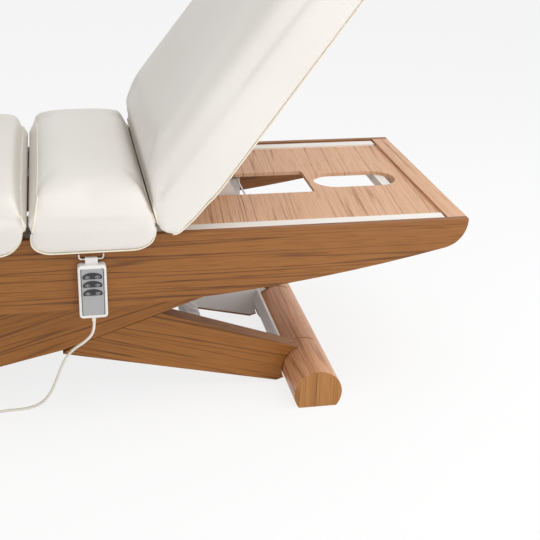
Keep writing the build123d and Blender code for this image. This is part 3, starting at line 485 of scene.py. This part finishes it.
# Cushions: the CAD blank, laid flat, is remeshed, rounded and blown up as cloth with its hem held
hingeHeight = 0.526
cushionMaking = {
    "weld": 0.00002, "voxel": 0.008, "firstEasing": 3, "rounding": 11, "drawnIn": 0.003,
    "hemHeld": 0.538, "freeFrom": 0.575, "pressure": 4.0, "frames": 20, "cap": 0.010,
    "endsFrom": 0.535, "endsReach": 0.08, "endsRamp": 0.02, "skirtStart": 0.345, "easing": 11,
}
weltMaking = {
    "radius": 0.0021, "proud": 0.0012, "every": 2, "sides": 2, "steps": 2, "order": 4,
    "capped": False, "hemY": 0.3735, "hemOut": 0.006, "closeShare": 0.75, "startWithin": 0.03,
    "sideY": 0.375, "middleZ": 0.56,
}
# An end stands at x at the hinge's height and leans by so many degrees. Above the hem it moves
# by close, and by leanMore for each metre of height. The skirt hangs from the first x to the
# second, its lower edge is at the height hem, and corner is the radius of its lower corners.
cushionPieces = {
    "seatCushion": {
        "node": "seat_cushion", "body": "platform", "raise": 0.0, "hinge": 0.264,
        "ends": [
            {"x": -0.0225, "lean": 13.0, "close": -0.013, "leanMore": 0.0},
            {"x": 0.258, "lean": -21.3, "close": 0.007, "leanMore": 0.09},
        ],
        "hem": 0.480, "corner": 0.060, "skirt": (-0.047, 0.265), "fill": 0.8,
    },
    "backCushion": {
        "node": "back_cushion", "body": "backrest", "raise": 53.6, "hinge": 0.264,
        "ends": [
            {"x": 0.275, "lean": 44.0, "close": -0.008, "leanMore": -0.15},
            {"x": 1.043, "lean": 0.0, "close": 0.0, "leanMore": 0.0},
        ],
        "hem": 0.461, "corner": 0.032, "skirt": (0.276, 1.050), "fill": 0.8,
    },
    "legCushion": {
        "node": "leg_cushion", "body": "leg_rest", "raise": 0.0, "hinge": -0.038,
        "ends": [
            {"x": -0.049, "lean": -13.0, "close": 0.011, "leanMore": 0.0},
            {"x": -1.043, "lean": 0.0, "close": 0.0, "leanMore": 0.0},
        ],
        "hem": 0.480, "corner": 0.060, "skirt": (-1.050, -0.052), "fill": 0.8,
    },
}


def raising(facts):
    hinge = Vector((facts["hinge"], 0, hingeHeight))
    turn = Matrix.Rotation(math.radians(facts["raise"]), 4, (0, -1, 0))
    return Matrix.Translation(hinge) @ turn @ Matrix.Translation(-hinge)


def cushionBlank(name, facts):
    shape = bmesh.new()
    shape.from_mesh(nodes[facts["node"]].data)
    bmesh.ops.remove_doubles(shape, verts=shape.verts, dist=cushionMaking["weld"])
    bmesh.ops.transform(shape, matrix=raising(facts).inverted(), verts=shape.verts)
    blank = bpy.data.objects.new(name + "Blank", meshFrom(name + "Blank", shape, smooth=True))
    bpy.context.collection.objects.link(blank)
    remesh = blank.modifiers.new("voxels", "REMESH")
    remesh.mode = "VOXEL"
    remesh.voxel_size = cushionMaking["voxel"]
    graph = bpy.context.evaluated_depsgraph_get()
    mesh = bpy.data.meshes.new_from_object(blank.evaluated_get(graph))
    bpy.data.objects.remove(blank)
    return mesh


def heldShare(height):
    free = cushionMaking["freeFrom"]
    return min(1.0, max(0.0, (free - height) / (free - cushionMaking["hemHeld"])))


def relax(shape, verts, times):
    for _ in range(times):
        bmesh.ops.smooth_vert(
            shape, verts=verts, factor=0.5, use_axis_x=True, use_axis_y=True, use_axis_z=True
        )


def relaxTop(shape, times):
    free = [vert for vert in shape.verts if vert.co.z > cushionMaking["freeFrom"]]
    relax(shape, free, times)


def drawIn(mesh):
    shape = bmesh.new()
    shape.from_mesh(mesh)
    relax(shape, shape.verts, cushionMaking["firstEasing"])
    relaxTop(shape, cushionMaking["rounding"])
    shape.normal_update()
    for vert in shape.verts:
        vert.co -= vert.normal * cushionMaking["drawnIn"] * (1 - heldShare(vert.co.z))
    shape.to_mesh(mesh)
    shape.free()


def blowUp(name, mesh):
    start = [vert.co.copy() for vert in mesh.vertices]
    pad = bpy.data.objects.new(name + "Cloth", mesh)
    bpy.context.collection.objects.link(pad)
    held = pad.vertex_groups.new(name="held")
    for index, place in enumerate(start):
        share = heldShare(place.z)
        if share > 0:
            held.add([index], share, "REPLACE")
    cloth = pad.modifiers.new("cloth", "CLOTH")
    cloth.settings.use_pressure = True
    cloth.settings.uniform_pressure_force = cushionMaking["pressure"]
    cloth.settings.vertex_group_mass = "held"
    cloth.settings.effector_weights.gravity = 0
    cloth.point_cache.frame_end = cushionMaking["frames"]
    for step in range(1, cushionMaking["frames"] + 1):
        bpy.context.scene.frame_set(step)
    graph = bpy.context.evaluated_depsgraph_get()
    swollen = pad.evaluated_get(graph).to_mesh()
    places = [vert.co.copy() for vert in swollen.vertices]
    pad.evaluated_get(graph).to_mesh_clear()
    bpy.data.objects.remove(pad)
    bpy.context.scene.frame_set(1)
    for vert, first, last in zip(mesh.vertices, start, places):
        move = last - first
        if move.length > cushionMaking["cap"]:
            move.length = cushionMaking["cap"]
        vert.co = first + move


def closeEnds(mesh, facts):
    # above the hem each end reaches towards its neighbour
    for vert in mesh.vertices:
        rise = vert.co.z - cushionMaking["endsFrom"]
        if rise <= 0:
            continue
        for end in facts["ends"]:
            face = end["x"] + rise * math.tan(math.radians(end["lean"]))
            near = 1 - min(1.0, abs(vert.co.x - face) / cushionMaking["endsReach"])
            ease = near * near * (3 - 2 * near)
            closing = end["close"] * min(1.0, rise / cushionMaking["endsRamp"])
            vert.co.x += ease * (closing + end["leanMore"] * rise)


def roundCorners(mesh, facts):
    # the skirt's lower corners are cut to a quarter circle
    low, high = facts["skirt"]
    radius = facts["corner"]
    middle = facts["hem"] + radius
    for vert in mesh.vertices:
        if abs(vert.co.y) < cushionMaking["skirtStart"] or vert.co.z > middle:
            continue
        down = min(1.0, (middle - vert.co.z) / radius)
        side = 1 if vert.co.x > (low + high) / 2 else -1
        centre = high - radius if side > 0 else low + radius
        out = min(1.0, (vert.co.x - centre) * side / radius)
        if out > 0:
            vert.co.x = centre + side * radius * out * math.sqrt(1 - down * down / 2)
            vert.co.z = middle - radius * down * math.sqrt(1 - out * out / 2)


def sliceLoop(shape, place, normal):
    # the longest outline that a plane cuts out of the cushion, as points in order
    copy = shape.copy()
    cut = bmesh.ops.bisect_plane(
        copy, geom=copy.verts[:] + copy.edges[:] + copy.faces[:], plane_co=place, plane_no=normal
    )["geom_cut"]
    edges = [item for item in cut if isinstance(item, bmesh.types.BMEdge)]
    unused = set(edges)
    loops = []
    for edge in edges:
        if edge not in unused:
            continue
        unused.remove(edge)
        chain = [edge.verts[0], edge.verts[1]]
        growing = True
        while growing:
            growing = False
            for step in chain[-1].link_edges:
                if step in unused:
                    unused.remove(step)
                    chain.append(step.other_vert(chain[-1]))
                    growing = True
                    break
        loops.append([vert.co.copy() for vert in chain])
    copy.free()
    return max(loops, key=len)


def startingAt(loop, rank):
    # the same loop, begun at the point of the lowest rank
    first = min(range(len(loop)), key=lambda index: rank(loop[index]))
    return loop[first:] + loop[:first]


def makeWelt(name, facts, points):
    thinned = points[:-1:weltMaking["every"]] + points[-1:]
    raised = [raising(facts) @ point for point in thinned]
    welt = makeTube(name, raised, weltMaking["radius"], weltMaking, "weltCream")
    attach(welt, facts["body"])


def makeHemWelts(name, facts, shape, joined):
    for sideName, side in tableSides.items():
        loop = sliceLoop(shape, (0, side * weltMaking["hemY"], 0), (0, 1, 0))
        outward = Vector((0, side * weltMaking["hemOut"], 0))
        hem = [
            point + outward for point in startingAt(loop, lambda point: -point.z)
            if point.z < joined
        ]
        makeWelt(f"{name}HemWelt{sideName}", facts, hem)


def makeEndWelts(name, facts, shape, joined):
    middleZ = weltMaking["middleZ"]
    for index, end in enumerate(facts["ends"]):
        slope = math.atan(math.tan(math.radians(end["lean"])) + end["leanMore"])
        place = (end["x"] + end["close"] * weltMaking["closeShare"], 0, hingeHeight)
        loop = sliceLoop(shape, place, (math.cos(slope), 0, -math.sin(slope)))
        loop = startingAt(
            loop, lambda point: (abs(point.y) > weltMaking["startWithin"], point.z)
        )
        outer = [
            point + Vector((0, point.y, point.z - middleZ)).normalized() * weltMaking["proud"]
            for point in loop
            if point.z > joined and (abs(point.y) > weltMaking["sideY"] or point.z > middleZ)
        ]
        makeWelt(f"{name}EndWelt{index + 1}", facts, outer)


def makeCushion(name, facts):
    mesh = cushionBlank(name, facts)
    drawIn(mesh)
    blowUp(name, mesh)
    closeEnds(mesh, facts)
    roundCorners(mesh, facts)
    shape = bmesh.new()
    shape.from_mesh(mesh)
    relaxTop(shape, cushionMaking["easing"])
    joined = facts["hem"] + facts["corner"]
    makeHemWelts(name, facts, shape, joined)
    makeEndWelts(name, facts, shape, joined)
    bmesh.ops.transform(shape, matrix=raising(facts), verts=shape.verts)
    shape.to_mesh(mesh)
    shape.free()
    mesh.polygons.foreach_set("use_smooth", [True] * len(mesh.polygons))
    cushion = addPiece(name, mesh, "leatherette", facts["body"])
    soften = cushion.modifiers.new("soften", "SUBSURF")
    soften.levels = soften.render_levels = 1
    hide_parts(facts["node"])


for cushionName, cushionFacts in cushionPieces.items():
    makeCushion(cushionName, cushionFacts)
    print("cushion made:", cushionName)


# The control's face plate with a dark sheet behind the gap around it as painted shade, and three
# arched keys with pale signs
controlFace = {
    "centreX": 0.104, "width": 0.0515, "bottom": 0.3185, "top": 0.4395, "corner": 0.004,
    "cornerSteps": 6, "front": -0.3856, "sunk": 0.0008, "depth": 0.0009, "seam": 0.0017,
}
keyShape = {
    "halfWidth": 0.0232, "rise": 0.0118, "drop": 0.0045, "sides": 64, "topZ": 0.4185,
    "pitch": 0.0215, "back": -0.3850, "front": -0.3882, "bevel": 0.0011, "bevelSteps": 3,
    "weld": 0.00001, "apart": 0.0122, "oval": (0.0055, 0.0031), "ovalSides": 40, "rim": 0.0008,
    "lift": 0.0012, "arrow": 0.0017, "markThick": 0.00025,
}


def standUp(shape, place):
    # a flat outline drawn lying down is stood up to face the table's side
    bmesh.ops.rotate(shape, matrix=Matrix.Rotation(quarterTurn, 3, "X"), verts=shape.verts)
    bmesh.ops.translate(shape, vec=place, verts=shape.verts)


def pushedOut(shape, distance):
    raised = bmesh.ops.extrude_face_region(shape, geom=shape.faces[:])["geom"]
    lifted = [item for item in raised if isinstance(item, bmesh.types.BMVert)]
    bmesh.ops.translate(shape, vec=(0, distance, 0), verts=lifted)
    bmesh.ops.recalc_face_normals(shape, faces=shape.faces)
    return lifted


def controlSheet(name, grow, depth):
    height = controlFace["top"] - controlFace["bottom"]
    middle = (controlFace["top"] + controlFace["bottom"]) / 2
    shape = bmesh.new()
    sheet = bmesh.ops.create_grid(shape, x_segments=1, y_segments=1, size=0.5)["verts"]
    bmesh.ops.scale(shape, vec=(controlFace["width"] + grow, height + grow, 1), verts=sheet)
    bmesh.ops.bevel(
        shape, geom=shape.verts[:], offset=controlFace["corner"],
        segments=controlFace["cornerSteps"], profile=0.5, affect="VERTICES", material=-1,
    )
    standUp(shape, (controlFace["centreX"], controlFace["front"] + controlFace["sunk"], middle))
    pushedOut(shape, -depth)
    return meshFrom(name, shape)


def makeControlFace():
    # a dark sheet a little wider than the plate shows in the gap around it: painted shade of the
    # gap
    seam = controlSheet("controlSeamShade", controlFace["seam"] * 2, controlFace["depth"] / 2)
    addPiece("controlSeamShade", seam, "darkKey", "hand_control")
    plate = controlSheet("controlPlate", 0.0, controlFace["depth"])
    facePlate = addPiece("controlPlate", plate, "greyPlate", "hand_control")
    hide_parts("control_face")


def makeKey(index):
    centreZ = keyShape["topZ"] - keyShape["pitch"] * index
    shape = bmesh.new()
    rim = bmesh.ops.create_circle(
        shape, cap_ends=True, segments=keyShape["sides"], radius=1.0
    )["verts"]
    bmesh.ops.scale(shape, vec=(keyShape["halfWidth"], keyShape["rise"], 1), verts=rim)
    for vert in shape.verts:
        vert.co.y = max(vert.co.y, -keyShape["drop"])
    bmesh.ops.remove_doubles(shape, verts=shape.verts, dist=keyShape["weld"])
    standUp(shape, (controlFace["centreX"], keyShape["back"], centreZ))
    front = pushedOut(shape, keyShape["front"] - keyShape["back"])
    rimEdges = [edge for edge in shape.edges if edge.verts[0] in front and edge.verts[1] in front]
    bmesh.ops.bevel(
        shape, geom=rimEdges, offset=keyShape["bevel"], segments=keyShape["bevelSteps"],
        profile=0.5, affect="EDGES", material=-1,
    )
    name = f"controlKey{index + 1}"
    key = addPiece(name, meshFrom(name, shape), "darkKey", f"key_{index + 1}")
    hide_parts(f"control_key_{index + 1}")


def makeKeyMarks(index):
    centreZ = keyShape["topZ"] - keyShape["pitch"] * index
    across, tall = keyShape["oval"]
    marks = bmesh.new()
    for lobe in (-1, 1):
        ring = []
        for shrink in (0.0, keyShape["rim"]):
            circle = bmesh.ops.create_circle(
                marks, segments=keyShape["ovalSides"], radius=1.0
            )["verts"]
            bmesh.ops.scale(marks, vec=(across - shrink, tall - shrink, 1), verts=circle)
            ring += circle
        edges = list({edge for vert in ring for edge in vert.link_edges})
        bmesh.ops.bridge_loops(marks, edges=edges)
        arrow = bmesh.ops.create_circle(
            marks, cap_ends=True, segments=3, radius=keyShape["arrow"]
        )["verts"]
        turn = Matrix.Rotation(0 if lobe < 0 else math.pi, 3, "Z")
        bmesh.ops.rotate(marks, matrix=turn, verts=arrow)
        bmesh.ops.translate(marks, vec=(lobe * keyShape["apart"], 0, 0), verts=ring + arrow)
    standUp(marks, (controlFace["centreX"], keyShape["front"], centreZ + keyShape["lift"]))
    pushedOut(marks, -keyShape["markThick"])
    name = f"keyMarks{index + 1}"
    addPiece(name, meshFrom(name, marks), "paleMark", f"key_{index + 1}")


makeControlFace()
for keyIndex in range(3):
    makeKey(keyIndex)
    makeKeyMarks(keyIndex)
print("control face and keys made")


# Veneered discs on the ends of the round feet, cut flat where the foot stands
footEnds = {
    "radius": 0.0635, "sides": 96, "thick": 0.0012, "axisBelowTop": 0.0645, "inset": 0.0002,
    "cutZ": 0.0015,
}
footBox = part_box("right_foot")


def makeFootEnd(name, x, side, body):
    shape = bmesh.new()
    bmesh.ops.create_circle(
        shape, cap_ends=True, segments=footEnds["sides"], radius=footEnds["radius"]
    )
    endY = footBox[1][1] - footEnds["inset"]
    axisZ = footBox[1][2] - footEnds["axisBelowTop"]
    standUp(shape, (x, side * endY, axisZ))
    bmesh.ops.bisect_plane(
        shape, geom=shape.verts[:] + shape.edges[:] + shape.faces[:],
        plane_co=(0, 0, footEnds["cutZ"]), plane_no=(0, 0, -1), clear_outer=True,
    )
    pushedOut(shape, side * footEnds["thick"])
    addPiece(name, meshFrom(name, shape), "oakFootEnd", body)


for footName, footNode, footBody in (
    ("leftFootEnd", "left_foot", "base"),
    ("rightFootEnd", "right_foot", "right_foot"),
):
    lowCorner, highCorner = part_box(footNode)
    middleX = (lowCorner[0] + highCorner[0]) / 2
    for sideName, side in tableSides.items():
        makeFootEnd(footName + sideName, middleX, side, footBody)
print("foot ends made")


# Floor, world and lamps. A lamp has its place, its target, its size and its power
studio = {
    "floorSize": 9.0, "floorDrop": 0.0006, "floorTone": (0.90, 0.90, 0.90, 1.0),
    "seenWhite": 0.80, "skyFill": 0.56,
    "lamps": {
        "overhead": ((1.5, -1.1, 3.2), (0.4, 0.0, 0.4), 3.0, 54.0),
        "frontFill": ((-1.6, -3.4, 1.9), (0.2, 0.0, 0.4), 2.6, 19.0),
        "headFill": ((3.4, -1.0, 1.4), (0.4, 0.0, 0.3), 2.2, 22.0),
        "lowFill": ((1.5, -2.8, 0.24), (0.35, 0.2, 0.26), 1.0, 16.0),
    },
}


def seenDirectly(tree):
    # 1 for what the camera sees, also by a reflection or through glass, and 0 for stray light
    path = tree.nodes.new("ShaderNodeLightPath")
    seen = Wire(tree, path.outputs["Is Camera Ray"]) + Wire(tree, path.outputs["Is Glossy Ray"])
    seen = seen + Wire(tree, path.outputs["Is Transmission Ray"])
    return seen.math("MINIMUM", 1.0)


def makeFloor():
    shape = bmesh.new()
    bmesh.ops.create_grid(shape, x_segments=2, y_segments=2, size=studio["floorSize"])
    bmesh.ops.translate(shape, vec=(0, 0, -studio["floorDrop"]), verts=shape.verts)
    floor = bpy.data.objects.new("studioFloor", meshFrom("studioFloor", shape))
    bpy.context.collection.objects.link(floor)
    material = bpy.data.materials.new("studioFloor")
    material.use_nodes = True
    tree = material.node_tree
    tree.nodes.clear()
    share = seenDirectly(tree) * studio["seenWhite"]
    matt = share.node("ShaderNodeBsdfDiffuse", {"Color": studio["floorTone"]})
    glow = share.node("ShaderNodeEmission", {"Color": (1, 1, 1, 1), "Strength": 1.0})
    mixed = share.node("ShaderNodeMixShader", {0: share, 1: matt, 2: glow})
    output = tree.nodes.new("ShaderNodeOutputMaterial")
    tree.links.new(mixed.socket, output.inputs[0])
    floor.data.materials.append(material)


def makeWorld():
    world = bpy.data.worlds.new("studioWorld")
    bpy.context.scene.world = world
    world.use_nodes = True
    tree = world.node_tree
    tree.nodes.clear()
    fill = studio["skyFill"]
    colour = blendTones(seenDirectly(tree), (fill, fill, fill, 1), (1, 1, 1, 1))
    sky = colour.node("ShaderNodeBackground", {"Color": colour, "Strength": 1.0})
    output = tree.nodes.new("ShaderNodeOutputWorld")
    tree.links.new(sky.socket, output.inputs[0])


def makeLamps():
    for name, (place, target, size, power) in studio["lamps"].items():
        data = bpy.data.lights.new(name, "AREA")
        data.size = size
        data.energy = power
        lamp = bpy.data.objects.new(name, data)
        lamp.location = place
        aim = Vector(target) - Vector(place)
        lamp.rotation_euler = aim.to_track_quat("-Z", "Y").to_euler()
        bpy.context.collection.objects.link(lamp)


makeFloor()
makeWorld()
makeLamps()
bpy.context.scene.view_settings.view_transform = "Standard"
print("studio lit")
